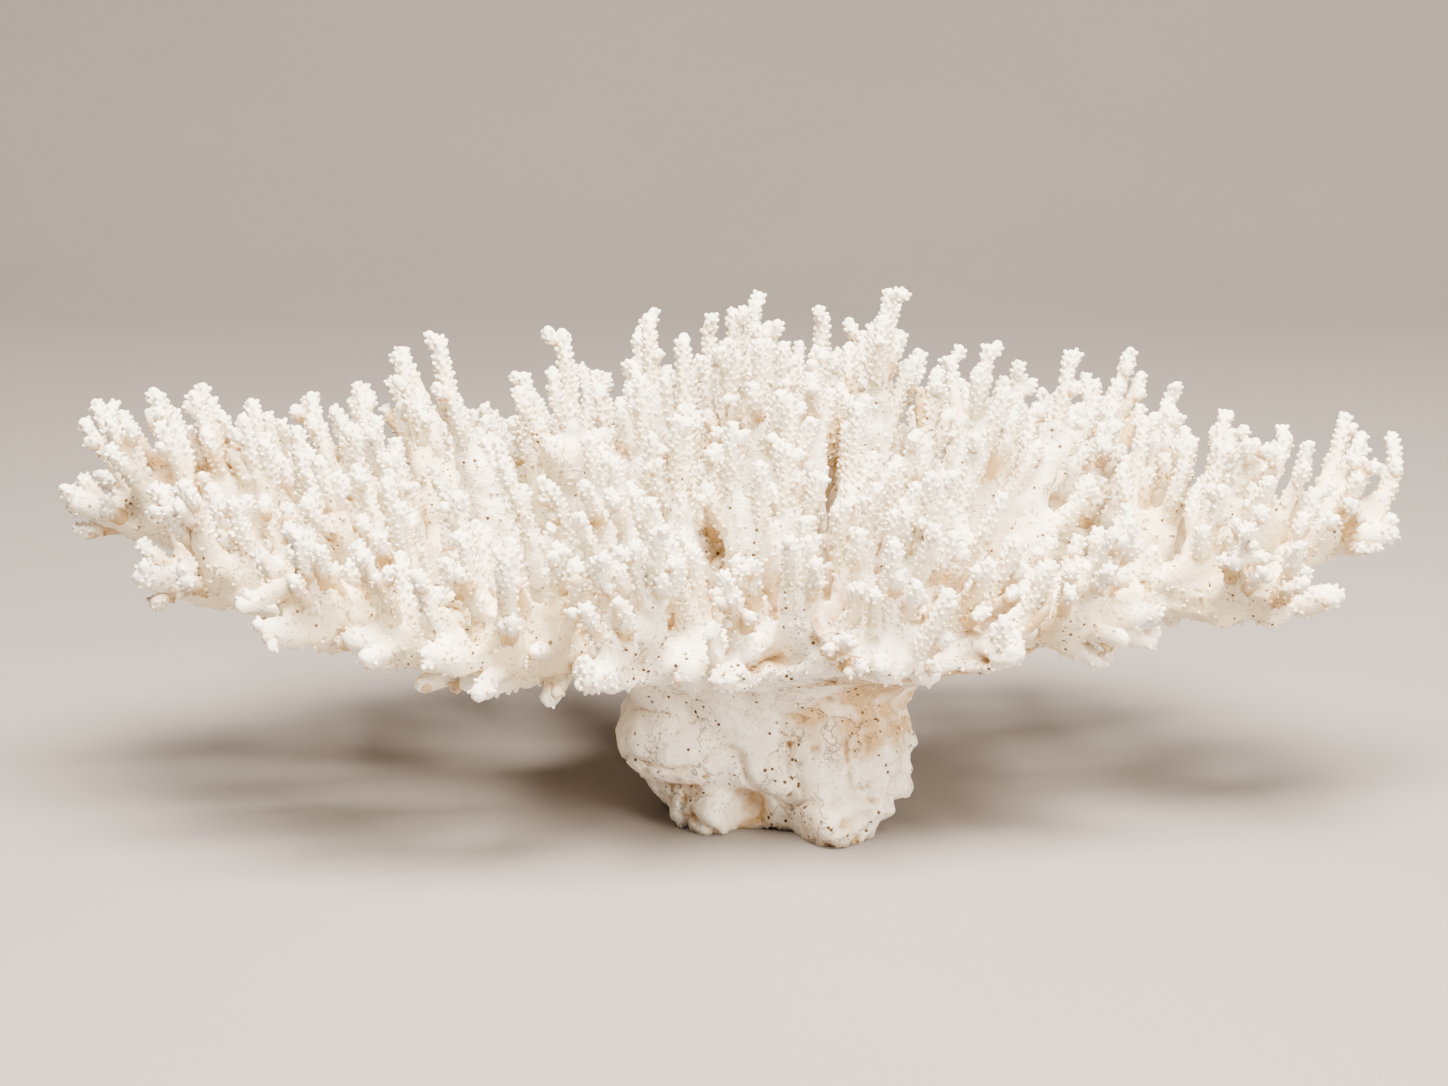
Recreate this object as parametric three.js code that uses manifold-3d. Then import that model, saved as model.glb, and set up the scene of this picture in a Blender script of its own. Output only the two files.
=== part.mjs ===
// Staghorn coral skeleton in its table form: a lumpy holdfast, cut flat where it grew on the reef, and the limbs
// that fork out of it into a wide, shallow table with upright branchlets on top.
// Millimetres, +Z up. The origin is the middle of the flat cut, +X runs along the table's long way.

import * as THREE from "three";
import { mergeVertices } from "three/addons/utils/BufferGeometryUtils.js";
import Module from "manifold-3d";

const wasm = await Module();
wasm.setup();

// Driving dimensions

const JOINT_GAP = 0.3; // between one piece and the next at a fork
const FRAME_STEPS = 20; // cross-sections measured along a curve

// Holdfast: half widths of the stump at its waist and of the plate that it spreads into, then its turned profile,
// as [share of the way from waist to plate rim, height]. A share under 0 is inside the waist, and -1 the axis.
const WAIST_HALF = [46, 38];
const PLATE_HALF = [94, 76];
const HOLDFAST_PROFILE = [
  [-1, -12],
  [-0.3, -12],
  [-0.12, 4],
  [0, 18],
  [-0.04, 34],
  [0.08, 47],
  [0.55, 59],
  [0.96, 67],
  [1, 72],
  [0.8, 78],
  [0, 80],
  [-1, 81],
];
const HOLDFAST_SIDES = 20;
const FLUTES = 7;
const FLUTE_DEPTH = 0.05;
const FLUTE_TWIST = 0.03; // radians for each millimetre of height
const GROUND_DEPTH = 40; // of the block that cuts the foot flat

// Lumps that the stump swelled into: centre and half sizes.
const STUMP_LUMPS = [
  { centre: [-29, -8, 28], half: [23, 29, 26] },
  { centre: [-21, -22, 9], half: [15, 14, 15] },
  { centre: [24, -14, 30], half: [27, 29, 33] },
  { centre: [24, -31, 10], half: [17, 17, 18] },
  { centre: [2, 22, 20], half: [40, 22, 30] },
];
const LUMP_DETAIL = 1;

// Limbs: the tip of each, the limb it forks from (or none, for the holdfast) with the share of that limb's length
// at the fork, and how far its middle bows to its left.
const LIMB_ROOT_HEIGHT = 71;
const LIMB_ROOT_SHARE = 0.7; // of the plate's half widths
const LIMB_SAG = 7;
const LIMB_SIDES = 6;
const LIMB_STATIONS = [0, 0.2, 0.4, 0.6, 0.8, 0.95];
const LIMB_TAPER = 1.6;
const LIMB_TIP_RADIUS = 3.6;
const LIMBS = [
  { name: "limb_right", tip: [222, 4, 100], bow: -4, radius: 9.5 },
  { name: "limb_right_front", from: "limb_right", at: 0.3, tip: [196, -32, 85], bow: -10, radius: 7 },
  { name: "limb_right_low", tip: [128, -48, 81], bow: -6, radius: 7.5 },
  { name: "limb_right_back", from: "limb_right", at: 0.3, tip: [186, 66, 98], bow: 10, radius: 7 },
  { name: "limb_back_right", tip: [158, 108, 98], bow: -6, radius: 9 },
  { name: "limb_back_right_inner", from: "limb_back_right", at: 0.25, tip: [88, 140, 96], bow: 8, radius: 7 },
  { name: "limb_back", tip: [16, 150, 96], bow: 5, radius: 9 },
  { name: "limb_back_left_inner", from: "limb_back_left", at: 0.25, tip: [-52, 148, 96], bow: -9, radius: 7 },
  { name: "limb_back_left", tip: [-114, 138, 97], bow: -4, radius: 9 },
  { name: "limb_left_back_inner", from: "limb_left_back", at: 0.25, tip: [-168, 106, 98], bow: -10, radius: 7 },
  { name: "limb_left_back", tip: [-222, 60, 104], bow: 6, radius: 9.5 },
  { name: "limb_left", from: "limb_left_back", at: 0.22, tip: [-249, -6, 115], bow: 10, radius: 8 },
  { name: "limb_left_low", tip: [-214, -56, 97], bow: -5, radius: 9 },
  { name: "limb_left_front", from: "limb_left_low", at: 0.25, tip: [-168, -92, 90], bow: 8, radius: 7.5 },
  { name: "limb_front_left", tip: [-114, -106, 83], bow: -5, radius: 9 },
];

// Side branches that fill the table between the limbs, and stubs on the plate's front rim: each is of one piece
// with what it grows from, a limb or, where none is named, the holdfast.
const SIDE_BRANCHES = [
  { name: "side_left", from: "limb_left_low", at: 0.1, tip: [-176, -20, 98], bow: 8, radius: 6.5 },
  { name: "side_left_front", from: "limb_front_left", at: 0.2, tip: [-142, -86, 85], bow: 6, radius: 6 },
  { name: "side_back_left", from: "limb_back_left", at: 0.12, tip: [-128, 96, 96], bow: 8, radius: 6.5 },
  { name: "side_back_inner_left", from: "limb_back", at: 0.15, tip: [-18, 132, 94], bow: 8, radius: 6.5 },
  { name: "side_back_inner_right", from: "limb_back", at: 0.15, tip: [52, 128, 94], bow: -8, radius: 6.5 },
  { name: "side_back_right", from: "limb_back_right", at: 0.15, tip: [138, 68, 96], bow: -8, radius: 6.5 },
  { name: "stub_left", tip: [-62, -106, 76], bow: 0, radius: 9 },
  { name: "stub_middle", tip: [-16, -102, 75], bow: 4, radius: 9.5 },
  { name: "stub_right", tip: [36, -92, 77], bow: 4, radius: 9 },
  { name: "stub_far_right", tip: [82, -74, 77], bow: 3, radius: 9 },
];

// Branchlets: landmark tips that stand clear of the crown, then others wherever there is room.
const BRANCHLET_SIDES = 4;
const BRANCHLET_BASE_RADIUS = 4.2;
const BRANCHLET_STATIONS = [
  [0, BRANCHLET_BASE_RADIUS],
  [0.8, 2.9],
  [1, 0],
];
const BRANCHLET_CLEARANCE = 1.4;
const TIP_SPACING = 16.6;
const CROWN_LENGTH = 96; // of a branchlet over the holdfast
const RIM_LENGTH = 32; // of a branchlet at a limb's tip
const LENGTH_SPREAD = [-0.34, 0.1]; // shortest and longest, as a share added to the length
const FRONT_SHORTENING = 0.45; // share that the crown's branchlets lose from the middle to the front rim
const FAN_HALF_WIDTH = 34;
const LENGTH_FALL = 0.85; // how soon branchlets shorten along a limb
const LEAN_AT_ROOT = 0.05; // share of its height that a branchlet leans outwards
const LEAN_AT_RIM = 0.7;
const BRANCHLET_BEND_OUT = 0.65;
const BRANCHLET_BEND_UP = 0.4;
const CROWN_FLOOR = 72;
const HOLDFAST_LEAN = 0.7;
const CROWN_OVERHANG = 1.25; // reach of the holdfast's branchlets, as a share of the plate's half widths
const OUTERMOST_FOOT = 0.94; // share of a limb's length past which it is bare
const TRIES_PER_LIMB = 400;
const TRIES_ON_HOLDFAST = 500;
const CLEAR_OF_PLATE = 1.09; // share of the plate's half widths past which limbs carry branchlets
const LIMB_CLEARS_PLATE = 0.74; // share at which a limb's top comes out of the plate
const GROWTH_SEED = 20261;
const LANDMARK_TIPS = [
  [43, 26, 184],
  [-12, 38, 174],
  [-44, 36, 172],
  [20, 40, 172],
  [-219, 24, 147],
  [-238, 30, 136],
  [-141, 122, 146],
  [138, 98, 147],
  [184, 20, 133],
  [226, 18, 127],
  [-36, -72, 114],
  [-9, -68, 106],
  [-70, -80, 115],
  [13, -64, 119],
  [36, -56, 129],
  [60, -46, 132],
  [82, -36, 127],
];

const CORAL_WHITE = new THREE.MeshStandardMaterial({ color: 0xf3ede3, roughness: 0.85, metalness: 0 });
const CORAL_CREAM = new THREE.MeshStandardMaterial({ color: 0xe6d8c4, roughness: 0.9, metalness: 0 });

// Solids from three.js geometry, and a mesh from a solid

function solidOf(geometry) {
  geometry.deleteAttribute("normal");
  geometry.deleteAttribute("uv");
  const merged = mergeVertices(geometry, 1e-4);
  const corners = merged.index.array;
  const kept = [];
  for (let i = 0; i < corners.length; i += 3) {
    const [a, b, c] = corners.slice(i, i + 3);
    if (a !== b && b !== c && c !== a) kept.push(a, b, c);
  }
  const vertProperties = new Float32Array(merged.attributes.position.array);
  return new wasm.Manifold(new wasm.Mesh({ numProp: 3, vertProperties, triVerts: new Uint32Array(kept) }));
}

function joined(solids) {
  return solids.reduce((whole, solid) => whole.add(solid));
}

function meshOf(name, solid, material) {
  const { vertProperties, triVerts } = solid.getMesh();
  const geometry = new THREE.BufferGeometry();
  geometry.setAttribute("position", new THREE.BufferAttribute(vertProperties, 3));
  geometry.setIndex(new THREE.BufferAttribute(triVerts, 1));
  geometry.computeVertexNormals();
  const mesh = new THREE.Mesh(geometry, material);
  mesh.name = name;
  return mesh;
}

// A closed cylinder bent along a curve: stations are the rings, each as [share of the length, radius].
function bentTube(curve, stations, sides) {
  const lastRing = stations.length - 1;
  const geometry = new THREE.CylinderGeometry(1, 1, 1, sides, lastRing);
  const frames = curve.computeFrenetFrames(FRAME_STEPS);
  const position = geometry.attributes.position;
  const point = new THREE.Vector3();
  for (let i = 0; i < position.count; i++) {
    const [share, radius] = stations[Math.round((position.getY(i) + 0.5) * lastRing)];
    const step = Math.round(share * FRAME_STEPS);
    point.copy(curve.getPointAt(share));
    point.addScaledVector(frames.binormals[step], position.getX(i) * radius);
    point.addScaledVector(frames.normals[step], position.getZ(i) * radius);
    position.setXYZ(i, point.x, point.y, point.z);
  }
  return solidOf(geometry);
}

// The same draws from the same seed, each time the coral grows.
function seededDraws(seed) {
  let state = seed;
  return () => {
    state = (Math.imul(state, 1664525) + 1013904223) >>> 0;
    return state / 4294967296;
  };
}

const mix = (from, to, share) => from + (to - from) * share;
const planDistance = (a, b) => Math.hypot(a.x - b.x, a.y - b.y);
const plateShare = (point) => Math.hypot(point.x / PLATE_HALF[0], point.y / PLATE_HALF[1]);

// Limb axes

function growLimb(row, grown) {
  const tip = new THREE.Vector3(...row.tip);
  const heading = Math.atan2(tip.y, tip.x);
  const parent = grown.get(row.from);
  const root = parent
    ? parent.axis.getPoint(row.at)
    : new THREE.Vector3(
        LIMB_ROOT_SHARE * PLATE_HALF[0] * Math.cos(heading),
        LIMB_ROOT_SHARE * PLATE_HALF[1] * Math.sin(heading),
        LIMB_ROOT_HEIGHT,
      );
  const middle = root.clone().lerp(tip, 0.5);
  const along = tip.clone().sub(root).setZ(0).normalize();
  middle.x -= along.y * row.bow;
  middle.y += along.x * row.bow;
  middle.z -= LIMB_SAG;
  const axis = new THREE.QuadraticBezierCurve3(root, middle, tip);
  const radiusAt = (share) => mix(row.radius, LIMB_TIP_RADIUS, share ** LIMB_TAPER);
  const piece = LIMBS.includes(row) ? row.name : (row.from ?? "holdfast");
  return { name: row.name, piece, parent, axis, radiusAt, points: axis.getPoints(24), branchlets: [] };
}

function growLimbs() {
  const grown = new Map();
  const primaryFirst = [...LIMBS, ...SIDE_BRANCHES].sort((a, b) => Number("from" in a) - Number("from" in b));
  for (const row of primaryFirst) {
    grown.set(row.name, growLimb(row, grown));
  }
  return [...grown.values()];
}

// Branchlets

function branchlet(base, tip) {
  const bend = base.clone().lerp(tip, BRANCHLET_BEND_OUT);
  bend.z = mix(base.z, tip.z, BRANCHLET_BEND_UP);
  const curve = new THREE.QuadraticBezierCurve3(base, bend, tip);
  return { curve, tip, points: curve.getPoints(8) };
}

function branchletOnLimb(limb, share, side, lengthFactor) {
  const foot = limb.axis.getPoint(share);
  const along = limb.axis.getTangent(share).setZ(0).normalize();
  const length = mix(CROWN_LENGTH, RIM_LENGTH, share ** LENGTH_FALL) * lengthFactor;
  const tip = new THREE.Vector3(foot.x - along.y * side, foot.y + along.x * side, foot.z + length);
  return branchletToTip(limb, share, tip);
}

function branchletToTip(limb, share, tip) {
  const foot = limb.axis.getPoint(share);
  const lean = (mix(LEAN_AT_ROOT, LEAN_AT_RIM, share) * (tip.z - foot.z)) / limb.axis.getLength();
  return branchlet(limb.axis.getPoint(Math.max(share - lean, 0)), tip);
}

function branchletOnHoldfast(tip) {
  const base = new THREE.Vector3(tip.x * HOLDFAST_LEAN, tip.y * HOLDFAST_LEAN, CROWN_FLOOR);
  return branchlet(base, tip);
}

function nearestOnLimbs(limbs, point) {
  let nearest = { distance: Infinity };
  for (const limb of limbs) {
    limb.points.forEach((onAxis, i) => {
      const distance = planDistance(onAxis, point);
      if (distance < nearest.distance) {
        nearest = { limb, share: i / (limb.points.length - 1), distance };
      }
    });
  }
  return nearest;
}

// Whether a new branchlet keeps its distance from every tip, and from all that grows on other limbs.
function hasRoom(sprout, owner, limbs) {
  for (const limb of limbs) {
    for (const other of limb.branchlets) {
      if (planDistance(other.tip, sprout.tip) < TIP_SPACING) return false;
    }
    if (limb.piece === owner.piece) continue;
    const clearOfAxis = limb.points.every((onAxis, i) => {
      if (plateShare(onAxis) < LIMB_CLEARS_PLATE) return true;
      const reach = limb.radiusAt(i / (limb.points.length - 1)) + BRANCHLET_BASE_RADIUS + BRANCHLET_CLEARANCE;
      return sprout.points.every((point) => point.distanceTo(onAxis) > reach);
    });
    if (!clearOfAxis) return false;
    for (const other of limb.branchlets) {
      const apart = 2 * BRANCHLET_BASE_RADIUS + BRANCHLET_CLEARANCE;
      const clear = other.points.every((a) => sprout.points.every((b) => a.distanceTo(b) > apart));
      if (!clear) return false;
    }
  }
  return true;
}

function growBranchlets(limbs, holdfast) {
  const draw = seededDraws(GROWTH_SEED);
  const owners = [holdfast, ...limbs];
  const keep = (sprout, owner) => {
    if (hasRoom(sprout, owner, owners)) owner.branchlets.push(sprout);
  };
  for (const [x, y, z] of LANDMARK_TIPS) {
    const tip = new THREE.Vector3(x, y, z);
    const { limb, share } = nearestOnLimbs(limbs, tip);
    if (plateShare(tip) < CROWN_OVERHANG) keep(branchletOnHoldfast(tip), holdfast);
    else keep(branchletToTip(limb, share, tip), limb);
  }
  for (let i = 0; i < TRIES_ON_HOLDFAST; i++) {
    const angle = 2 * Math.PI * draw();
    const share = CROWN_OVERHANG * Math.sqrt(draw());
    const x = share * PLATE_HALF[0] * Math.cos(angle);
    const y = share * PLATE_HALF[1] * Math.sin(angle);
    const shortening = FRONT_SHORTENING * Math.max(0, -y / PLATE_HALF[1]);
    const length = CROWN_LENGTH * (1 - shortening + mix(...LENGTH_SPREAD, draw()));
    const tip = new THREE.Vector3(x, y, CROWN_FLOOR + length);
    keep(branchletOnHoldfast(tip), holdfast);
  }
  for (const limb of limbs) {
    for (let i = 0; i < TRIES_PER_LIMB; i++) {
      const share = OUTERMOST_FOOT * draw();
      const side = FAN_HALF_WIDTH * (2 * draw() - 1);
      const lengthFactor = 1 + mix(...LENGTH_SPREAD, draw());
      const sprout = branchletOnLimb(limb, share, side, lengthFactor);
      const rooted = limb.piece === holdfast.piece || plateShare(sprout.points[0]) > CLEAR_OF_PLATE;
      const nearest = nearestOnLimbs(limbs, sprout.tip);
      if (rooted && nearest.limb === limb) keep(sprout, limb);
    }
  }
}

// Holdfast

function stump(clearance) {
  const profile = HOLDFAST_PROFILE.map(([share, height]) => new THREE.Vector2(share + 1, height));
  const geometry = new THREE.LatheGeometry(profile, HOLDFAST_SIDES);
  geometry.rotateX(Math.PI / 2);
  const position = geometry.attributes.position;
  for (let i = 0; i < position.count; i++) {
    const angle = Math.atan2(position.getY(i), position.getX(i));
    const share = Math.hypot(position.getX(i), position.getY(i)) - 1;
    const flute = 1 + FLUTE_DEPTH * Math.sin(FLUTES * angle + FLUTE_TWIST * position.getZ(i));
    const halfX = (share < 0 ? WAIST_HALF[0] * (1 + share) : mix(WAIST_HALF[0], PLATE_HALF[0], share)) * flute;
    const halfY = (share < 0 ? WAIST_HALF[1] * (1 + share) : mix(WAIST_HALF[1], PLATE_HALF[1], share)) * flute;
    position.setX(i, halfX * Math.cos(angle));
    position.setY(i, halfY * Math.sin(angle));
  }
  return solidOf(swollen(geometry, clearance));
}

// A geometry with its vertices merged and pushed out along their normals.
function swollen(geometry, clearance) {
  geometry.deleteAttribute("normal");
  geometry.deleteAttribute("uv");
  const merged = mergeVertices(geometry, 1e-4);
  merged.computeVertexNormals();
  const position = merged.attributes.position;
  const normal = merged.attributes.normal;
  for (let i = 0; i < position.count; i++) {
    position.setX(i, position.getX(i) + clearance * normal.getX(i));
    position.setY(i, position.getY(i) + clearance * normal.getY(i));
    position.setZ(i, position.getZ(i) + clearance * normal.getZ(i));
  }
  return merged;
}

function lump({ centre, half }, clearance) {
  const geometry = new THREE.IcosahedronGeometry(1, LUMP_DETAIL);
  geometry.scale(half[0] + clearance, half[1] + clearance, half[2] + clearance);
  geometry.translate(...centre);
  return solidOf(geometry);
}

function holdfastBody(clearance) {
  const ground = new THREE.BoxGeometry(4 * PLATE_HALF[0], 4 * PLATE_HALF[1], GROUND_DEPTH);
  ground.translate(0, 0, -GROUND_DEPTH / 2);
  const lumps = STUMP_LUMPS.map((row) => lump(row, clearance));
  return joined([stump(clearance), ...lumps]).subtract(solidOf(ground));
}

// Assembly

function limbTube(limb, clearance) {
  const stations = LIMB_STATIONS.map((share) => [share, limb.radiusAt(share) + clearance]);
  return bentTube(limb.axis, [...stations, [1, 0]], LIMB_SIDES);
}

function branchletTubes(owner) {
  return owner.branchlets.map(({ curve }) => bentTube(curve, BRANCHLET_STATIONS, BRANCHLET_SIDES));
}

function tubesOf(piece, limbs) {
  const grown = limbs.filter((limb) => limb.piece === piece);
  return grown.flatMap((limb) => [limbTube(limb, 0), ...branchletTubes(limb)]);
}

const limbs = growLimbs();
const holdfast = { piece: "holdfast", branchlets: [], points: [] };
growBranchlets(limbs, holdfast);

const coral = new THREE.Group();
const holdfastTubes = [...branchletTubes(holdfast), ...tubesOf(holdfast.piece, limbs)];
coral.add(meshOf(holdfast.piece, joined([holdfastBody(0), ...holdfastTubes]), CORAL_CREAM));

const holdfastGap = holdfastBody(JOINT_GAP);
for (const { piece, parent } of limbs.filter(({ name, piece }) => name === piece)) {
  const cuts = parent ? [holdfastGap, limbTube(parent, JOINT_GAP)] : [holdfastGap];
  coral.add(meshOf(piece, joined(tubesOf(piece, limbs)).subtract(joined(cuts)), CORAL_WHITE));
}

export default coral;
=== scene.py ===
import math

import bmesh
import bpy
import numpy as np
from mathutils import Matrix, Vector, noise
from mathutils.bvhtree import BVHTree
from mathutils.kdtree import KDTree


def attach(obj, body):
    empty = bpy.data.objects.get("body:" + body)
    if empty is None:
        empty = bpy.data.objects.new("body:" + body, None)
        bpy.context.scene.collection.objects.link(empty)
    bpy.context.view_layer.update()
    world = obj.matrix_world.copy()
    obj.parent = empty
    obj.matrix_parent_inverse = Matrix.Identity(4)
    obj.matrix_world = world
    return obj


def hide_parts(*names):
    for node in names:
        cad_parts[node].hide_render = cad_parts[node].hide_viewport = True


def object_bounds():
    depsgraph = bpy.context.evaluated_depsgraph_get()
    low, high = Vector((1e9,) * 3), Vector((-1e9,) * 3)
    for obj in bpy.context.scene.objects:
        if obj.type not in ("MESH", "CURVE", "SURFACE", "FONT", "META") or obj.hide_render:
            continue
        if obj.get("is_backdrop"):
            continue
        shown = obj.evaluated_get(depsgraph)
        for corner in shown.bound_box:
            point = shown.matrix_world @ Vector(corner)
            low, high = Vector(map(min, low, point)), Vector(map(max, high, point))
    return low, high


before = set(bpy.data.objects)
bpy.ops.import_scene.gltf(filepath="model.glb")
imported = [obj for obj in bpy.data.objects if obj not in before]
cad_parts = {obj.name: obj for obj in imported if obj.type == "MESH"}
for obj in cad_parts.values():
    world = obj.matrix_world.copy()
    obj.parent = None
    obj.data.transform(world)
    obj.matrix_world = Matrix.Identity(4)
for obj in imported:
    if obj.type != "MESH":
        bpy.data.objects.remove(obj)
solid_low, solid_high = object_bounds()
mm = 0.001

# Growing ends. Every branchlet and limb ran on at its tip for as long as the coral lived, so each has an axis
# from the foot where it forked off to its tip. The axes are read off the solids, where each runs out to a
# point, and on a copy of the solid the branchlets are taken down to the stubs that they grow from.

STUB_LENGTH = 22 * mm
STUB_SPREAD = 1.3
STUB_POINT = 0.2
LIMB_END_SIDES = 6
LIMB_END_EVEN = 1.3
LIMB_POINTED = 0.55
BRANCHLET_POINTED = 0.85
LIMB_RUN = 3
BRANCHLET_RUN = 4

solids = {}
branchlet_ends = {}
limb_ends = {}
for name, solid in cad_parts.items():
    shape = bmesh.new()
    shape.from_mesh(solid.data)
    bmesh.ops.remove_doubles(shape, verts=shape.verts, dist=1e-6)
    shape.normal_update()
    branchlet_ends[name] = []
    limb_ends[name] = []
    taken_down = {}
    for corner in shape.verts:
        ring = [edge.other_vert(corner) for edge in corner.link_edges]
        ways = [(other.co - corner.co).normalized() for other in ring]
        inward = sum(ways, Vector()) / len(ways)
        reach = [edge.calc_length() for edge in corner.link_edges]
        is_limb = len(ring) == LIMB_END_SIDES and max(reach) < LIMB_END_EVEN * min(reach)
        pointed = inward.length >= (LIMB_POINTED if is_limb else BRANCHLET_POINTED)
        if not pointed or inward.dot(corner.normal) > -0.5 * inward.length:
            continue
        middle = sum((other.co for other in ring), Vector()) / len(ring)
        legs = []
        for other in ring:
            below = [edge.other_vert(other) for edge in other.link_edges]
            below = [end for end in below if end is not corner and end not in ring]
            steps = [(end.co - other.co).normalized() for end in below]
            if steps:
                legs.append(max(steps, key=inward.dot))
        along = sum(legs, Vector()).normalized()
        run = (LIMB_RUN if is_limb else BRANCHLET_RUN) * (corner.co - middle).length
        end = np.array([middle + run * along, middle, corner.co])
        if is_limb:
            limb_ends[name].append(end)
            continue
        branchlet_ends[name].append(end)
        down = along * max(run - STUB_LENGTH, 0)
        for other in ring:
            taken_down[other] = middle + down + STUB_SPREAD * (other.co - middle)
        taken_down[corner] = middle + down + STUB_POINT * (corner.co - middle)
    for corner, place in taken_down.items():
        corner.co = place
    solids[name] = bpy.data.meshes.new(name + "_solid")
    shape.to_mesh(solids[name])
    shape.free()

# Branchlets. Upright columns of white, porous aragonite, about as thick as a pencil, that end in a blunt bud.
# Each follows its axis from the stub on its limb or plate and bends up to the light on the way.

TIP_RADIUS = 2.15 * mm
RING_STEP = 4.5 * mm
END_RINGS = np.array([0.0, 0.07, 0.28, 0.9])
SHORT_AND_TALL = (30 * mm, 90 * mm)
FOOT_RADII = (4.2 * mm, 6.4 * mm)
SEED = 20261
draws = np.random.default_rng(SEED)
noise.seed_set(SEED)
columns = []
taken = np.empty((0, 4))


def grow_column(piece, path, tip_radius, foot_radius, worn=0.0):
    """A column's rings from tip to foot, with a rounded end, kept for the piece that it belongs to."""
    global taken
    run = np.concatenate([[0], np.cumsum(np.linalg.norm(np.diff(path, axis=0), axis=1))])
    length = run[-1]
    first_step = END_RINGS[-1] * tip_radius + 0.7 * RING_STEP
    steps = np.arange(first_step, length - 0.3 * RING_STEP, RING_STEP)
    back = np.concatenate([tip_radius * END_RINGS, steps, [length]])
    points = np.column_stack([np.interp(length - back, run, path[:, k]) for k in range(3)])
    radius = np.interp(back, [0, 0.35 * length, length], [tip_radius, 1.2 * tip_radius, foot_radius])
    round_end = np.sqrt(np.clip(1 - (1 - np.minimum(back / tip_radius, 1)) ** 2, 0.03, 1))
    round_end[-1] = 0.5
    taken = np.vstack([taken, np.column_stack([path, np.full(len(path), len(columns))])])
    rings = {"points": points, "radius": radius * round_end, "age": back}
    columns.append({"piece": piece, "path": path, "worn": worn, **rings})


def bent_path(foot, bend, tip, count):
    """A curve from a foot to a tip that leaves and arrives in line with a bend."""
    step = np.linspace(0, 1, count)[:, None]
    return (1 - step) ** 2 * foot + 2 * step * (1 - step) * bend + step**2 * tip


for name, ends in branchlet_ends.items():
    for foot, middle, tip in ends:
        bend = foot + 0.65 * (tip - foot)
        bend[2] = foot[2] + 0.4 * (tip[2] - foot[2])
        path = bent_path(foot, bend, tip, 16)
        foot_radius = np.interp(np.linalg.norm(tip - foot), SHORT_AND_TALL, FOOT_RADII)
        grow_column(name, path, TIP_RADIUS * draws.uniform(0.92, 1.12), foot_radius)
uprights = len(columns)

# Limb ends. Each limb runs out past its last branchlet in a blunt bud as thick as a little finger, worn by
# the sea. It is one short column along the end of the limb's axis.

LIMB_TIP_RADIUS = 3.9 * mm
LIMB_FOOT_RADIUS = 6.0 * mm
LIMB_WEAR = 0.5

for name, ends in limb_ends.items():
    for foot, middle, tip in ends:
        path = np.vstack([foot + (middle - foot) * share for share in (0, 0.35, 0.7)] + [middle, tip])
        grow_column(name, path, LIMB_TIP_RADIUS, LIMB_FOOT_RADIUS, LIMB_WEAR)
mains = len(columns)

# Forks. A branchlet parts two or three times on the way up, and each fork bends back up beside it. A limb's
# end parts into a few short, wide forks. One grows only where it keeps its distance from every other column.

FULL_TURN = 2 * math.pi
FORK_EVERY = 21 * mm
FORK_TRIES = 6
FORK_REACH = (8 * mm, 48 * mm)
FORK_FOOT = 3.8 * mm
FORK_ROOM = 6.0 * mm
NEIGHBOURS_WITHIN = 30 * mm
THINNER_THAN_PARENT = 0.95


def radius_at(column, share):
    """A column's radius at a share of its height."""
    return np.interp((1 - share) * column["age"][-1], column["age"], column["radius"])


def room_for(path, parent, gap):
    """Whether the outer half of a new column keeps its distance from every other one."""
    outer = path[len(path) // 2 :]
    close = np.abs(taken[:, :3] - outer[-1]).max(1) < NEIGHBOURS_WITHIN
    near = taken[close & (taken[:, 3] != parent)]
    return not len(near) or np.linalg.norm(outer[:, None] - near[None, :, :3], axis=2).min() > gap


def fork_of(path, share, lean, length, upturn):
    """The axis of a fork that leaves a column at a share of its height, to any side, and bends back up."""
    at = share * (len(path) - 1)
    low = min(int(at), len(path) - 2)
    start = path[low] + (at - low) * (path[low + 1] - path[low])
    way = path[low + 1] - path[low]
    way = way / np.linalg.norm(way)
    across = np.cross(way, (0.3, 1.0, 0.1))
    across /= np.linalg.norm(across)
    turn = draws.uniform(0, FULL_TURN)
    side = math.cos(turn) * across + math.sin(turn) * np.cross(way, across)
    first = math.cos(math.radians(lean)) * way + math.sin(math.radians(lean)) * side
    step = np.linspace(0, 1, 9)[:, None]
    return start + length * (first * step + upturn * (way - first) * step**2 / 2)


for i, column in enumerate(columns[:mains]):
    length = np.linalg.norm(column["path"][-1] - column["path"][0])
    at_limb_end = i >= uprights
    wanted = draws.integers(3, 6) if at_limb_end else round(length / FORK_EVERY + draws.uniform(-0.5, 0.5))
    for tries in range(wanted * FORK_TRIES):
        if not wanted:
            break
        share = draws.uniform(0.15, 0.85) if at_limb_end else draws.uniform(0.16, 0.74)
        lean = draws.uniform(35, 65) if at_limb_end else draws.uniform(22, 44)
        reach = np.clip((1 - share) * length * draws.uniform(0.55, 0.95), *FORK_REACH)
        path = fork_of(column["path"], share, lean, reach, 0.4 if at_limb_end else 0.95)
        if room_for(path, i, FORK_ROOM):
            foot_radius = min(FORK_FOOT, THINNER_THAN_PARENT * radius_at(column, share))
            grow_column(column["piece"], path, TIP_RADIUS * draws.uniform(0.85, 1.05), foot_radius)
            wanted -= 1

# Young branchlets. Short columns that came up late on the open tops of the limbs and the plate, between the
# old ones. Each is rooted a little under the surface and leans outward.

CROWN_FLOOR = 62 * mm
ROOTED = 6 * mm
ROOTED_BESIDE_NONE = -1
YOUNG_AREA = 180 * mm * mm
YOUNG_FOOT = 4.4 * mm
YOUNG_ROOM = 7.5 * mm


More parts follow.
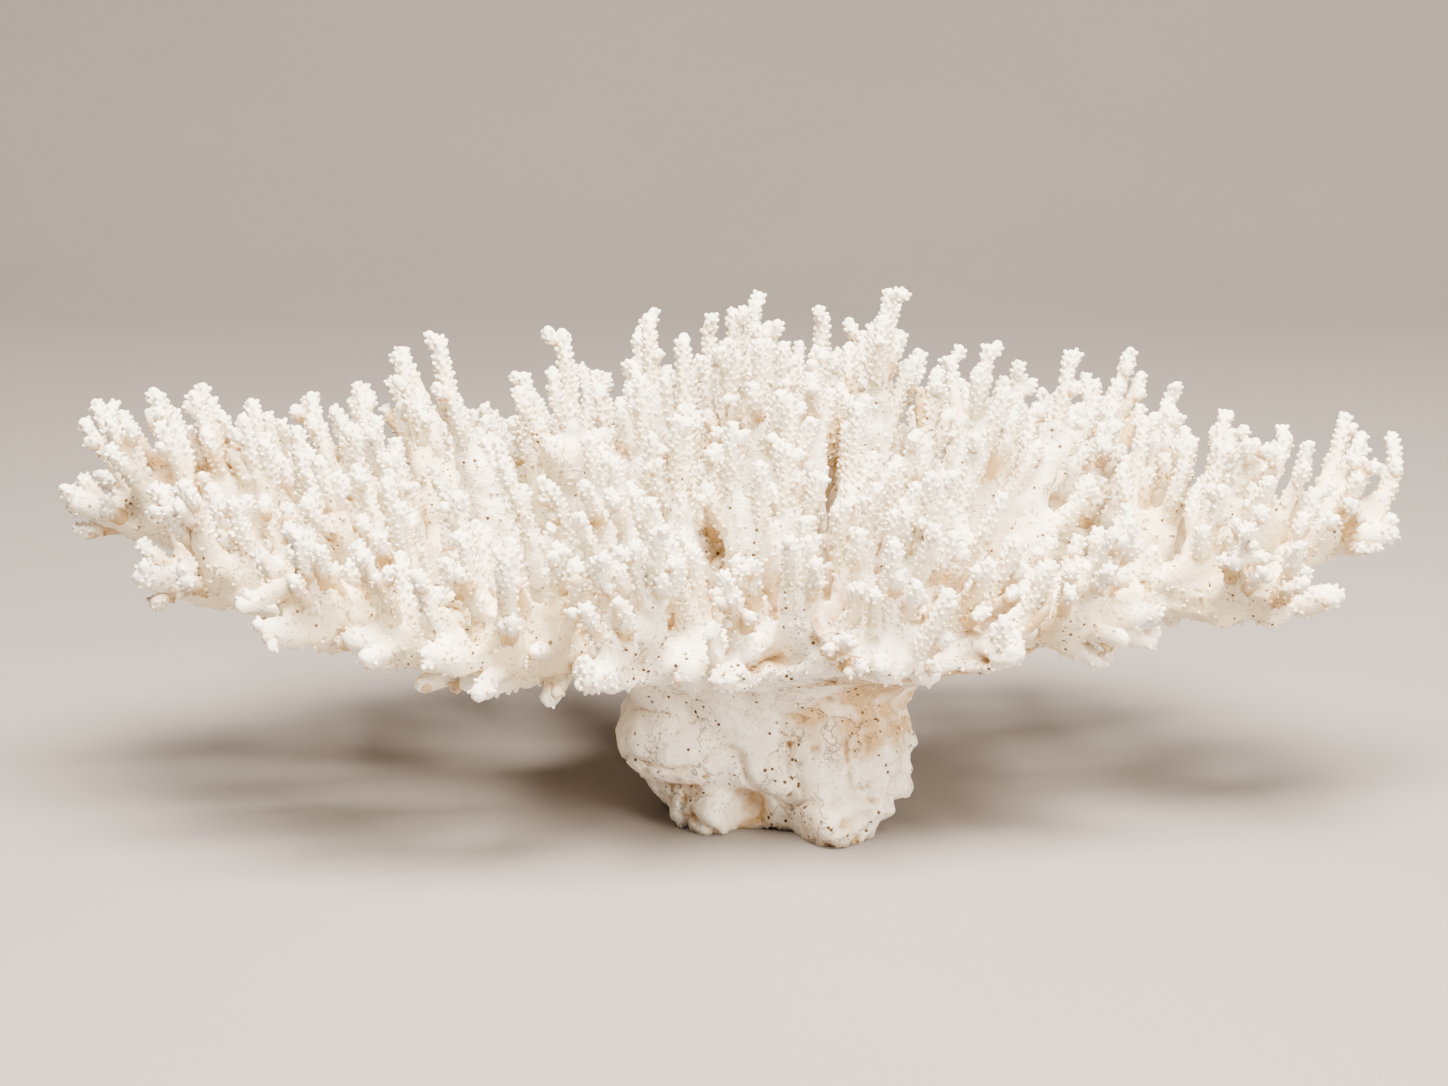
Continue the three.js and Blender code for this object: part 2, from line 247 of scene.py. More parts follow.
def point_on(mesh, face):
    """A point anywhere on a triangle."""
    a, b, c = (np.array(mesh.vertices[i].co) for i in face.vertices)
    u, v = sorted(draws.uniform(0, 1, 2))
    return u * a + (v - u) * b + (1 - v) * c


for name, mesh in solids.items():
    tops = [face for face in mesh.polygons if face.normal.z > 0.3 and face.center.z > CROWN_FLOOR]
    area = np.array([face.area for face in tops])
    for tries in range(int(area.sum() / YOUNG_AREA)):
        face = tops[draws.choice(len(tops), p=area / area.sum())]
        start = point_on(mesh, face)
        out = start * (1, 1, 0)
        way = 0.25 * out / max(np.linalg.norm(out), mm) + (*draws.uniform(-0.2, 0.2, 2), 1)
        reach = draws.uniform(8, 24) * mm
        foot = start - ROOTED * np.array(face.normal)
        path = bent_path(foot, start + 0.3 * reach * way, start + reach * way, 10)
        if room_for(path, ROOTED_BESIDE_NONE, YOUNG_ROOM):
            grow_column(name, path, TIP_RADIUS * draws.uniform(0.9, 1.1), YOUNG_FOOT)

# Rim knobs. Blunt buds of old wood, worn smooth, on the outer sides of the limbs and, thicker and shorter,
# round the rim of the plate. They point outward and a little up.

PLATE_HALF = (94 * mm, 76 * mm)
RIM_FROM = 0.84
KNOB_LIFT = 0.25
KNOB_INSIDE_BOX = 5 * mm
KNOB_WEAR = 1.0
PLATE_KNOBS = {
    "lowest_side": 68 * mm,
    "lowest_foot": 67 * mm,
    "most_droop": -0.15,
    "area": 60 * mm * mm,
    "reach": (3, 8),
    "room": 11 * mm,
    "tip_radius": 4.8 * mm,
    "foot_radius": 7.5 * mm,
}
LIMB_KNOBS = {
    "lowest_side": 62 * mm,
    "lowest_foot": 62 * mm,
    "most_droop": -math.inf,
    "area": 26 * mm * mm,
    "reach": (7, 17),
    "room": 7 * mm,
    "tip_radius": 2.8 * mm,
    "foot_radius": 4.8 * mm,
}

for name, mesh in solids.items():
    knobs = PLATE_KNOBS if name == "holdfast" else LIMB_KNOBS
    sides = []
    for face in mesh.polygons:
        out = Vector((face.center.x, face.center.y, 0)).normalized()
        at_rim = math.hypot(face.center.x / PLATE_HALF[0], face.center.y / PLATE_HALF[1]) > RIM_FROM
        above_stump = face.center.z > knobs["lowest_side"]
        if at_rim and above_stump and face.normal.z < 0.6 and face.normal.dot(out) > -0.1:
            sides.append(face)
    area = np.array([face.area for face in sides])
    for tries in range(int(area.sum() / knobs["area"])):
        face = sides[draws.choice(len(sides), p=area / area.sum())]
        start = point_on(mesh, face)
        out = start * (1, 1, 0)
        way = out / np.linalg.norm(out) + 0.6 * np.array(face.normal) + draws.uniform(-0.35, 0.35, 3)
        way[2] = max(way[2] + KNOB_LIFT, knobs["most_droop"])
        way /= np.linalg.norm(way)
        path = start + way * np.linspace(-ROOTED, draws.uniform(*knobs["reach"]) * mm, 9)[:, None]
        fits = start[2] > knobs["lowest_foot"]
        fits = fits and (path[-1] > np.array(solid_low) + KNOB_INSIDE_BOX).all()
        fits = fits and (path[-1] < np.array(solid_high) - KNOB_INSIDE_BOX).all()
        if fits and room_for(path, ROOTED_BESIDE_NONE, knobs["room"]):
            tip_radius = knobs["tip_radius"] * draws.uniform(0.85, 1.15)
            grow_column(name, path, tip_radius, knobs["foot_radius"], KNOB_WEAR)
young = len(columns)

# Twigs. Side buds a few millimetres long, most of them close under the tips, that give the columns their
# knobbly outline. They are the last growth, thinner than what they sit on.

TWIG_EVERY = 45 * mm
TWIG_RADIUS = 0.82 * TIP_RADIUS
TWIG_FOOT = 2.2 * mm
TWIG_ROOM = 4.4 * mm

for i, column in enumerate(columns[:young]):
    length = np.linalg.norm(column["path"][-1] - column["path"][0])
    at_tip = 2 if i < mains else int(draws.uniform(0, 1) < 0.45)
    for tries in range(at_tip + round(length / TWIG_EVERY + draws.uniform(-0.3, 0.4))):
        from_tip = draws.uniform(3.5, 12) * mm if tries < at_tip else draws.uniform(0.1, 0.5) * length
        share = max(1 - from_tip / length, 0.3)
        reach = draws.uniform(6, 12) if tries < at_tip else draws.uniform(4.5, 9)
        path = fork_of(column["path"], share, draws.uniform(32, 60), reach * mm, 0.7)
        if room_for(path, i, TWIG_ROOM):
            foot_radius = min(TWIG_FOOT, THINNER_THAN_PARENT * radius_at(column, share))
            grow_column(column["piece"], path, TWIG_RADIUS * draws.uniform(0.9, 1.1), foot_radius)

# Column walls. Each column is a round tube that the coral laid down ring by ring behind its tip, so a ring's
# distance from the tip is its age. The axes become tubes by a tree of nodes, closed at both ends.

CLEAR_OF_BOX = 1.0 * mm
SWAY = 3.4 * mm
SWAY_WAVES = 24
STIFF_BELOW = 52 * mm
FREE_OVER = 20 * mm
OLDEST = 26 * mm
WORN_YEARS = 4 * mm
FLARE_AT = (0, 11 * mm, 32 * mm)
FLARE_START = -1.2 * mm
CUPS_AT = (0.4 * mm, 1.3 * mm, 20 * mm, 36 * mm, 52 * mm)
CUPS_LEFT = (0, 1, 1, 0.4, 0.08)


def swayed(points):
    """Points moved as the water bent the coral while it grew, the stump not at all."""
    free = np.clip((points[:, 2] - STIFF_BELOW) / FREE_OVER, 0, 1)
    wander = np.array([noise.noise_vector(Vector(point) * SWAY_WAVES) for point in points])
    return points + SWAY * free[:, None] * wander


def remember(mesh, **values):
    """Numbers or ways kept on the points of a mesh by name."""
    for name, value in values.items():
        if value.ndim == 2:
            mesh.attributes.new(name, "FLOAT_VECTOR", "POINT").data.foreach_set("vector", value.ravel())
        else:
            mesh.attributes.new(name, "FLOAT", "POINT").data.foreach_set("value", value)


def recall(mesh, name):
    """The numbers that the points of a mesh keep under a name."""
    values = np.empty(len(mesh.vertices))
    mesh.attributes[name].data.foreach_get("value", values)
    return values


def axes_of(name, chosen, youngest=0, swell=0):
    """The chosen columns' axes as a mesh of open lines, with each ring's thickness, age and way of growth."""
    points, edges, ways, thick, ages, worn, cups = [], [], [], [], [], [], []
    start = 0
    for column in chosen:
        kept = column["age"] >= youngest
        if kept.sum() < 2:
            continue
        line = swayed(column["points"][kept])
        clear = column["radius"][kept, None] + CLEAR_OF_BOX
        line = np.clip(line, np.array(solid_low) + clear, np.array(solid_high) - clear)
        way = -np.gradient(line, axis=0)
        ways.append(way / np.maximum(np.linalg.norm(way, axis=1, keepdims=True), 1e-9))
        points.append(line)
        age = column["age"][kept]
        flare = np.interp(age, [youngest + at for at in FLARE_AT], [FLARE_START, swell, 3 * swell])
        thick.append(column["radius"][kept] + (flare if swell else 0))
        ages.append(np.minimum(age + WORN_YEARS * column["worn"], OLDEST))
        worn.append(np.full(len(line), column["worn"]))
        cups.append((1 - 0.8 * column["worn"]) * np.interp(age, CUPS_AT, CUPS_LEFT))
        edges += [(start + i, start + i + 1) for i in range(len(line) - 1)]
        start += len(line)
    mesh = bpy.data.meshes.new(name)
    mesh.from_pydata(np.vstack(points).tolist(), edges, [])
    remember(
        mesh,
        thick=np.concatenate(thick),
        age=np.concatenate(ages),
        growth=np.vstack(ways),
        worn=np.concatenate(worn),
        lumpy=0.2 + 0.4 * np.concatenate(worn),
        cup_chance=np.concatenate(cups),
    )
    return mesh


def node(tree, kind, links, **settings):
    """A node with its settings made, and its inputs linked or set by name or number."""
    made = tree.nodes.new(kind)
    for name, value in settings.items():
        setattr(made, name, value)
    for name, value in links.items():
        if isinstance(value, bpy.types.NodeSocket):
            tree.links.new(value, made.inputs[name])
        else:
            made.inputs[name].default_value = value
    return made


def new_tree(name, result, **inputs):
    """An empty tree with named inputs, and the sockets that give them."""
    tree = bpy.data.node_groups.new(name, "GeometryNodeTree")
    for label, kind in inputs.items():
        tree.interface.new_socket(label, in_out="INPUT", socket_type="NodeSocket" + kind)
    tree.interface.new_socket(result, in_out="OUTPUT", socket_type="NodeSocketGeometry")
    return tree, node(tree, "NodeGroupInput", {}).outputs


def named(tree, name, kind="FLOAT"):
    """What the points of a mesh remember under a name."""
    return node(tree, "GeometryNodeInputNamedAttribute", {"Name": name}, data_type=kind).outputs[0]


def end_tree(tree, geometry, material):
    """The end of a tree: plain mesh with its material."""
    real = node(tree, "GeometryNodeRealizeInstances", {"Geometry": geometry})
    painted = node(tree, "GeometryNodeSetMaterial", {"Geometry": real.outputs[0], "Material": material})
    node(tree, "NodeGroupOutput", {0: painted.outputs[0]})


def put_on_show(name, mesh):
    """An object in the scene for a mesh."""
    piece = bpy.data.objects.new(name, mesh)
    bpy.context.scene.collection.objects.link(piece)
    return piece


def plain_mesh(piece):
    """The piece with its modifiers, as a mesh of its own."""
    return bpy.data.meshes.new_from_object(piece.evaluated_get(bpy.context.evaluated_depsgraph_get()))


def with_tree(mesh, tree, **inputs):
    """The mesh that a tree makes of a mesh."""
    piece = put_on_show(tree.name, mesh)
    modifier = piece.modifiers.new(tree.name, "NODES")
    modifier.node_group = tree
    for socket in tree.interface.items_tree:
        if socket.in_out == "INPUT" and socket.name in inputs:
            modifier[socket.identifier] = inputs[socket.name]
    made = plain_mesh(piece)
    piece.modifiers.remove(modifier)
    bpy.data.objects.remove(piece)
    return made


tubing, given = new_tree("columns", "Columns", Axes="Geometry", Sides="Int", Material="Material")
lines = node(tubing, "GeometryNodeMeshToCurve", {"Mesh": given["Axes"]})
section = node(tubing, "GeometryNodeCurvePrimitiveCircle", {"Resolution": given["Sides"], "Radius": 1.0})
tubes = node(
    tubing,
    "GeometryNodeCurveToMesh",
    {
        "Curve": lines.outputs[0],
        "Profile Curve": section.outputs["Curve"],
        "Scale": named(tubing, "thick"),
        "Fill Caps": True,
    },
)
end_tree(tubing, tubes.outputs[0], given["Material"])

white_chalk = bpy.data.materials.new("white_chalk")

# Limbs and plate. The old wood of the coral: limbs as thick as a finger, run together in their crotches into
# webs, on the plate that they spread from. Each solid is swollen till it fuses with its branchlets' feet, as
# the living coral does it, then worn round, drawn back in and hollowed between the columns.

CORE_VOXEL = 2.2 * mm
CORE_WEAR = 2
SKIN_VOXEL = 2.3 * mm
SKIN_WEAR = 3
SWELL = 2.2 * mm
FOOT_SWELL = 1.3 * mm
FOOT_FROM = 9 * mm
FOOT_SIDES = 7
DRAWN_IN = 1.4 * mm
TOUCHING = 0.6 * mm
JOINT_REACH = 30 * mm
SLEEVE_HALF_LENGTH = 14 * mm
SLEEVE_WIDTH = 1.3
BARE_FROM = 7 * mm
BARE_OVER = 4 * mm
HOLLOW_OVER = 8 * mm
HOLLOW_DEPTH = 10.0 * mm
HOLLOW_SHARE = 0.4
HOLLOW_CELLS = 42


def points_of(mesh):
    points = np.empty(len(mesh.vertices) * 3)
    mesh.vertices.foreach_get("co", points)
    return points.reshape(-1, 3)


def normals_of(mesh):
    normals = np.empty(len(mesh.vertices) * 3)
    mesh.vertex_normals.foreach_get("vector", normals)
    return normals.reshape(-1, 3)


def triangles_of(mesh):
    mesh.calc_loop_triangles()
    corners = np.empty(len(mesh.loop_triangles) * 3, np.int32)
    mesh.loop_triangles.foreach_get("vertices", corners)
    return corners.reshape(-1, 3)


def fused(name, parts, voxel, wear):
    """Closed parts, each as points and triangles, as one skin of evenly small faces, worn smooth."""
    starts = np.cumsum([0] + [len(points) for points, triangles in parts])
    mesh = bpy.data.meshes.new(name)
    triangles = np.vstack([triangles + start for (points, triangles), start in zip(parts, starts)])
    mesh.from_pydata(np.vstack([points for points, triangles in parts]).tolist(), [], triangles.tolist())
    piece = put_on_show(name, mesh)
    remesh = piece.modifiers.new("fuse", "REMESH")
    remesh.mode = "VOXEL"
    remesh.voxel_size = voxel
    smooth = piece.modifiers.new("wear", "SMOOTH")
    smooth.factor = 0.5
    smooth.iterations = wear
    made = plain_mesh(piece)
    bpy.data.objects.remove(piece)
    return made


def tree_of(points, triangles):
    """A mesh as something to measure distances to and look at."""
    return BVHTree.FromPolygons(points.tolist(), triangles.tolist())


ball = bmesh.new()
bmesh.ops.create_icosphere(ball, subdivisions=2, radius=1.0)
ball_mesh = bpy.data.meshes.new("ball")
ball.to_mesh(ball_mesh)
ball.free()
ball_points = points_of(ball_mesh)
ball_triangles = triangles_of(ball_mesh)

surfaces = {name: tree_of(points_of(mesh), triangles_of(mesh)) for name, mesh in solids.items()}
sleeves = {name: [] for name in solids}
for name, mesh in solids.items():
    points = points_of(mesh)
    for other, surface in surfaces.items():
        if name in ("holdfast", other):
            continue
        touching = np.array([surface.find_nearest(point, TOUCHING)[0] is not None for point in points])
        if touching.sum() < 5:
            continue
        root = points[touching].mean(0)
        wide = np.sqrt(((points[touching] - root) ** 2).sum(1).mean())
        near = points[(np.linalg.norm(points - root, axis=1) < JOINT_REACH) & ~touching]
        along = near.mean(0) - root
        along /= np.linalg.norm(along)
        lengthwise = np.outer(ball_points @ along, along)
        sleeve = root + SLEEVE_WIDTH * wide * (ball_points - lengthwise) + SLEEVE_HALF_LENGTH * lengthwise
        sleeves[other].append(sleeve)

near_axes = KDTree(len(taken))
for i, point in enumerate(swayed(taken[:, :3])):
    near_axes.insert(point, i)
near_axes.balance()
skins = {}
hollows = {}
for name, mesh in solids.items():
    core = fused(name, [(points_of(mesh), triangles_of(mesh))], CORE_VOXEL, CORE_WEAR)
    core_points = points_of(core) + SWELL * normals_of(core)
    mine = [column for column in columns if column["piece"] == name]
    foot_axes = axes_of("feet", mine, FOOT_FROM, FOOT_SWELL)
    feet = with_tree(foot_axes, tubing, Sides=FOOT_SIDES, Material=white_chalk)
    parts = [(swayed(core_points), triangles_of(core)), (points_of(feet), triangles_of(feet))]
    parts += [(swayed(sleeve), ball_triangles) for sleeve in sleeves[name]]
    skin = fused(name, parts, SKIN_VOXEL, SKIN_WEAR)
    points = points_of(skin)
    normals = normals_of(skin)
    free = np.array([near_axes.find(point)[2] for point in points])
    ridged = np.zeros(len(points))
    bare = (free > BARE_FROM) & (points[:, 2] > CROWN_FLOOR) & (normals[:, 2] > -0.35)
    for i in np.nonzero(bare)[0]:
        nearest, second = noise.voronoi(Vector(points[i]) * HOLLOW_CELLS)[0][:2]
        ridged[i] = np.clip(3.2 * (second - nearest) - 0.25, 0, 1)
    from_columns = np.clip((free - BARE_FROM) / BARE_OVER, 0, 1)
    from_stump = np.clip((points[:, 2] - CROWN_FLOOR) / HOLLOW_OVER, 0, 1)
    hollows[name] = ridged * from_columns * from_stump
    surface = tree_of(points, triangles_of(skin))
    depth = np.zeros(len(points))
    for i in np.nonzero(hollows[name])[0]:
        across = surface.ray_cast(Vector(points[i] - 0.1 * mm * normals[i]), Vector(-normals[i]))[3]
        depth[i] = hollows[name][i] * min(HOLLOW_DEPTH, HOLLOW_SHARE * (across or 0))
    points = points - (DRAWN_IN + depth)[:, None] * normals
    low = np.array(solid_low) + (CLEAR_OF_BOX, CLEAR_OF_BOX, 0)
    points = np.clip(points, low, np.array(solid_high) - CLEAR_OF_BOX)
    skin.vertices.foreach_set("co", points.ravel())
    skin.update()
    skins[name] = skin


def give_growth(name, skin, hollow, stump, stain):
    """A skin with the age, lumps, stains and cups that its places on the coral have. The hollows are aged to
    tan and darker, and the stains take in painted shade.
    """
    points = points_of(skin)
    tips = np.array([column["points"][0] for column in columns[:mains] if column["piece"] == name])
    to_tip = np.empty(len(points))
    batch = 4096
    for start in range(0, len(points), batch):
        apart = points[start : start + batch, None] - tips[None]
        to_tip[start : start + batch] = np.sqrt((apart**2).sum(2).min(1))
    outward = points * (1, 1, 0) + (0, 0, 0.08)
    # Age goes up in the hollows, so they colour tan and darker: the tan of old wood, and painted shade.
    remember(
        skin,
        age=np.clip(to_tip + 4 * mm, 10 * mm, OLDEST) + 34 * mm * hollow * (1 - stump),
        lumpy=1 - stump,
        growth=outward / np.linalg.norm(outward, axis=1, keepdims=True),
        stain=stain,
        cup_chance=np.interp(to_tip, [0, 15 * mm, 50 * mm], [0.35, 0.2, 0.04]) * (1 - stump),
    )


for name, skin in skins.items():
    if name != "holdfast":
        clean = np.zeros(len(skin.vertices))
        give_growth(name, skin, hollows[name], clean, clean)

# Stump. The foot of the coral, lumpy and creased where it grew over the reef in layers, with borers' pits and
# tan stains on the right, and cut flat below. Its pits, creases and sunk places are coloured darker as
# painted shade. It is one with the plate, with finer faces for its relief.

FINE_BELOW = 58 * mm
NECK = (37 * mm, 66 * mm)
NECK_STROKES = 40
STUMP_TOP = 66 * mm
STUMP_FADE = 10 * mm
CUT_BELOW = 1.2 * mm
# across, up, half width, half height, stands out by, in millimetres
STUMP_LUMPS = [
    (-42, 33, 11, 13, 5.5),
    (-36, 14, 10, 5, -4.5),
    (-22, 27, 13, 12, 5.0),
    (-21, 7, 9, 8, 7.0),
    (-22, 16, 14, 2.5, -2.5),
    (-8, 9, 7, 9, -10.0),
    (2, 20, 9, 5, 3.0),
    (10, 33, 15, 18, 4.5),
    (22, 7, 9, 10, 7.5),
    (33, 26, 10, 10, -2.5),
    (41, 13, 9, 6, 3.5),
    (34, 50, 14, 8, -3.0),
    (-12, 52, 9, 6, -3.0),
]

base = skins["holdfast"]
remember(base, hollow=hollows["holdfast"])
shape = bmesh.new()
shape.from_mesh(base)
old = [edge for edge in shape.edges if all(corner.co.z < FINE_BELOW for corner in edge.verts)]
bmesh.ops.subdivide_edges(shape, edges=old, cuts=1, use_grid_fill=True)
shape.normal_update()
neck = [corner for corner in shape.verts if NECK[0] < corner.co.z < NECK[1] and corner.normal.z < 0.2]
for stroke in range(NECK_STROKES):
    bmesh.ops.smooth_vert(shape, verts=neck, factor=0.5, use_axis_x=True, use_axis_y=True, use_axis_z=True)
shape.to_mesh(base)
shape.free()
points = points_of(base)
normals = normals_of(base)
stump = np.clip((STUMP_TOP - points[:, 2]) / STUMP_FADE, 0, 1)
stain = np.zeros(len(points))
relief = np.zeros(len(points))
for i in np.nonzero(stump > 0)[0]:
    at = Vector(points[i])
    x, y, z = points[i] / mm
    warp = noise.noise_vector(at * 45) * 5
    in_front = np.clip(0.4 - 1.6 * normals[i, 1], 0, 1)
    form = 0
    for across, up, half_width, half_height, out in STUMP_LUMPS:
        off = ((x + warp.x - across) / half_width) ** 2 + ((z + warp.z - up) / half_height) ** 2
        form += out * math.exp(-off)
    lumps = noise.noise(at * 42 + Vector((3, 0, 0)))
    crease = abs(noise.noise(at * 34 + Vector((0, 7, 0))))
    creased = np.clip(1 - crease / 0.07, 0, 1) * np.clip((40 - z) / 6, 0, 1)
    ledge = ((z + 0.12 * x + 9 * noise.noise(at * 30)) / 9) % 1
    fine = noise.turbulence(at * 120, 3, True) - 0.55
    pit = noise.voronoi(at * 155)[0][0]
    right = np.clip((x - 20) / 25, 0, 1)
    worn_right = np.clip((x - 6 + 22 * noise.noise(at * 50)) / 16, 0, 1) * np.clip((z - 24) / 12, 0, 1)
    bored = np.clip(noise.noise(at * 33) * 3 + 0.2 + worn_right, 0, 1)
    pitted = np.clip((0.34 - pit) / 0.2, 0, 1) * bored
    layers = (0.5 + 1.2 * right) * (1 - ledge) ** 2 * min(8 * ledge, 1)
    relief[i] = form * in_front + 5.5 * lumps * (1 - 0.75 * in_front) - 2.2 * creased - 1.9 * pitted
    relief[i] += layers + 1.4 * noise.noise(at * 95) + 1.5 * fine
    relief[i] += right * np.clip((30 - z) / 12, 0, 1) * 4.0 * noise.noise(at * 130)
    foot_edge = np.clip((12 - z) / 12, 0, 1) * np.clip(0.4 + noise.noise(at * 60), 0, 1)
    # The stain is tan on the right and towards the bottom. It is painted shade in the pits, the sunk places,
    # the creases and the low spots of the fine relief.
    sunk_shade = np.clip(-form / 5, 0, 1) * in_front
    crevice_shade = 0.45 * creased + np.clip(-0.8 * fine - 0.12, 0, 0.3)
    stain[i] = np.clip(0.95 * worn_right + 0.7 * foot_edge + 0.9 * pitted + 0.6 * sunk_shade + crevice_shade, 0, 1)
points += normals * (relief * stump * mm)[:, None]
points[:, 2] = np.where(points[:, 2] < CUT_BELOW, 0, points[:, 2])
base.vertices.foreach_set("co", points.ravel())
base.update()
give_growth("holdfast", base, recall(base, "hollow"), stump, stain)

# Painted shade and tan. The hollows between the branchlets are coloured darker and tan. This is painted shade
# where their neighbours hide the light, and also the tan of the living coral that the hollows keep. Each
# place looks about for its neighbours: the nearer they are, the darker and more tan its colour.

OCCLUSION_REACH = 32 * mm
OFF_SKIN = 0.5 * mm
SKIN_LOOKS = 6
LOOK_OUT = 0.55
LOOK_ASIDE = 0.83
ROUGH_SIDES = 5

wood = with_tree(axes_of("wood", columns), tubing, Sides=ROUGH_SIDES, Material=white_chalk)
corners = [points_of(mesh) for mesh in (wood, *skins.values())]
starts = np.cumsum([0] + [len(points) for points in corners])
faces = [triangles_of(mesh) + start for mesh, start in zip((wood, *skins.values()), starts)]
all_coral = tree_of(np.vstack(corners), np.vstack(faces))


def occlusion_of(origins, ways):
    """How near the neighbours are that each origin sees in its ways, from 0 in the open to 1 shut in."""
    shut = np.zeros(len(origins))
    for i, (origin, looks) in enumerate(zip(origins.tolist(), ways.transpose(1, 0, 2).tolist())):
        for look in looks:
            far = all_coral.ray_cast(Vector(origin), Vector(look), OCCLUSION_REACH)[3]
            if far is not None:
                shut[i] += 1 - far / OCCLUSION_REACH
    return shut / len(ways)


skin_occlusion = []
for skin in skins.values():
    normals = normals_of(skin)
    across = np.cross(normals, (0.31, 0.2, 0.93))
    across /= np.linalg.norm(across, axis=1, keepdims=True)
    aside = np.cross(normals, across)
    looks = [normals]
    for turn in np.linspace(0, FULL_TURN, SKIN_LOOKS + 1)[:-1]:
        looks.append(LOOK_OUT * normals + LOOK_ASIDE * (math.cos(turn) * across + math.sin(turn) * aside))
    shelter = occlusion_of(points_of(skin) + OFF_SKIN * normals, np.array(looks))
    # Kept for the colour: painted shade, with the tan of the hollows.
    remember(skin, shelter=shelter)
    skin_occlusion.extend(shelter)
skin_points = np.vstack([points_of(skin) for skin in skins.values()])
on_skin = KDTree(len(skin_points))
for i, point in enumerate(skin_points):
    on_skin.insert(point, i)
on_skin.balance()

# Corallites. The cups that the polyps sat in: little tubes with a drawn-in lip all over the branchlets, aimed
# up the way that each one grew, and few on the old wood. They are too small for their mouths to show, so each
# is a closed peg, set on by a tree of nodes that also gives the skin its lumps.

CUP_SIDES = 4
CUP_SUNK = -0.35
LIP = 0.62
MOST_CUPS = 700000.0
LUMP_WAVES = 110.0


def math_node(tree, operation, a, b):
    """Two values worked together."""
    return node(tree, "ShaderNodeMath", {0: a, 1: b}, operation=operation).outputs[0]


def clouds(tree, where, waves, detail, **more):
    """Soft noise with so many waves to the metre."""
    settings = {"Vector": where, "Scale": waves, "Detail": detail, **more}
    return node(tree, "ShaderNodeTexNoise", settings).outputs["Fac"]


ring_turns = np.linspace(0, FULL_TURN, CUP_SIDES, endpoint=False)
cup_points = [(math.cos(turn), math.sin(turn), CUP_SUNK) for turn in ring_turns]
cup_points += [(LIP * math.cos(turn), LIP * math.sin(turn), 1.0) for turn in ring_turns]
cup_faces = []
for i in range(CUP_SIDES):
    after = (i + 1) % CUP_SIDES
    cup_faces.append((i, after, CUP_SIDES + after, CUP_SIDES + i))
cup_faces.append(tuple(range(CUP_SIDES, 2 * CUP_SIDES)))
cup_mesh = bpy.data.meshes.new("corallite")
cup_mesh.from_pydata(cup_points, [], cup_faces)
cup_mesh.polygons.foreach_set("use_smooth", [True] * len(cup_faces))
remember(cup_mesh, bead=np.repeat([0.0, 1.0], CUP_SIDES))
cup = bpy.data.objects.new("corallite", cup_mesh)

cupping, given = new_tree(
    "corallites",
    "Coral",
    Skin="Geometry",
    Columns="Object",
    Corallite="Object",
    Apart="Float",
    Width="Float",
    Height="Float",
    Tilt="Float",
    Lumps="Float",
    Seed="Int",
    Material="Material",
)
standing = node(cupping, "GeometryNodeObjectInfo", {"Object": given["Columns"]})
bare = node(cupping, "GeometryNodeJoinGeometry", {})
cupping.links.new(standing.outputs["Geometry"], bare.inputs[0])
cupping.links.new(given["Skin"], bare.inputs[0])
place = node(cupping, "GeometryNodeInputPosition", {}).outputs[0]
facing = node(cupping, "GeometryNodeInputNormal", {}).outputs[0]
bumps = clouds(cupping, place, LUMP_WAVES, 4.0, Roughness=0.62)
rise = math_node(cupping, "MULTIPLY", math_node(cupping, "SUBTRACT", bumps, 0.5), given["Lumps"])
held = math_node(cupping, "MULTIPLY", rise, named(cupping, "lumpy"))
lumps = node(cupping, "ShaderNodeVectorMath", {0: facing, "Scale": held}, operation="SCALE")
shaped = node(cupping, "GeometryNodeSetPosition", {"Geometry": bare.outputs[0], "Offset": lumps.outputs[0]})
smooth = node(cupping, "GeometryNodeSetShadeSmooth", {"Geometry": shaped.outputs[0]})
rows = node(
    cupping,
    "GeometryNodeDistributePointsOnFaces",
    {
        "Mesh": smooth.outputs[0],
        "Distance Min": given["Apart"],
        "Density Max": MOST_CUPS,
        "Density Factor": named(cupping, "cup_chance"),
        "Seed": given["Seed"],
    },
    distribute_method="POISSON",
)
growth = named(cupping, "growth", "FLOAT_VECTOR")
up = node(cupping, "ShaderNodeVectorMath", {0: growth, "Scale": given["Tilt"]}, operation="SCALE")
aimed = node(cupping, "ShaderNodeVectorMath", {0: rows.outputs["Normal"], 1: up.outputs[0]}, operation="ADD")
turned = node(cupping, "FunctionNodeAlignRotationToVector", {"Vector": aimed.outputs[0]}, axis="Z")
odd = node(cupping, "FunctionNodeRandomValue", {2: 0.8, 3: 1.15, "Seed": 2}, data_type="FLOAT").outputs[1]
wide = math_node(cupping, "MULTIPLY", odd, given["Width"])
tall = math_node(cupping, "MULTIPLY", odd, given["Height"])
size = node(cupping, "ShaderNodeCombineXYZ", {"X": wide, "Y": wide, "Z": tall})
model = node(cupping, "GeometryNodeObjectInfo", {"Object": given["Corallite"]})
set_on = node(
    cupping,
    "GeometryNodeInstanceOnPoints",
    {
        "Points": rows.outputs["Points"],
        "Instance": model.outputs["Geometry"],
        "Rotation": turned.outputs[0],
        "Scale": size.outputs[0],
    },
)
whole = node(cupping, "GeometryNodeJoinGeometry", {})
cupping.links.new(set_on.outputs[0], whole.inputs[0])
cupping.links.new(smooth.outputs[0], whole.inputs[0])
end_tree(cupping, whole.outputs[0], given["Material"])

# Chalk. The bleached skeleton itself: white at the young tips, then cream and then tan with age, and darker
# and tan in the hollows as painted shade. It has fine grain and pin pores, painted dark for the shade inside
# them, that go deeper into the old wood. The stump has the same chalk with stains, partly painted shade, and
# hair cracks painted dark as shade.


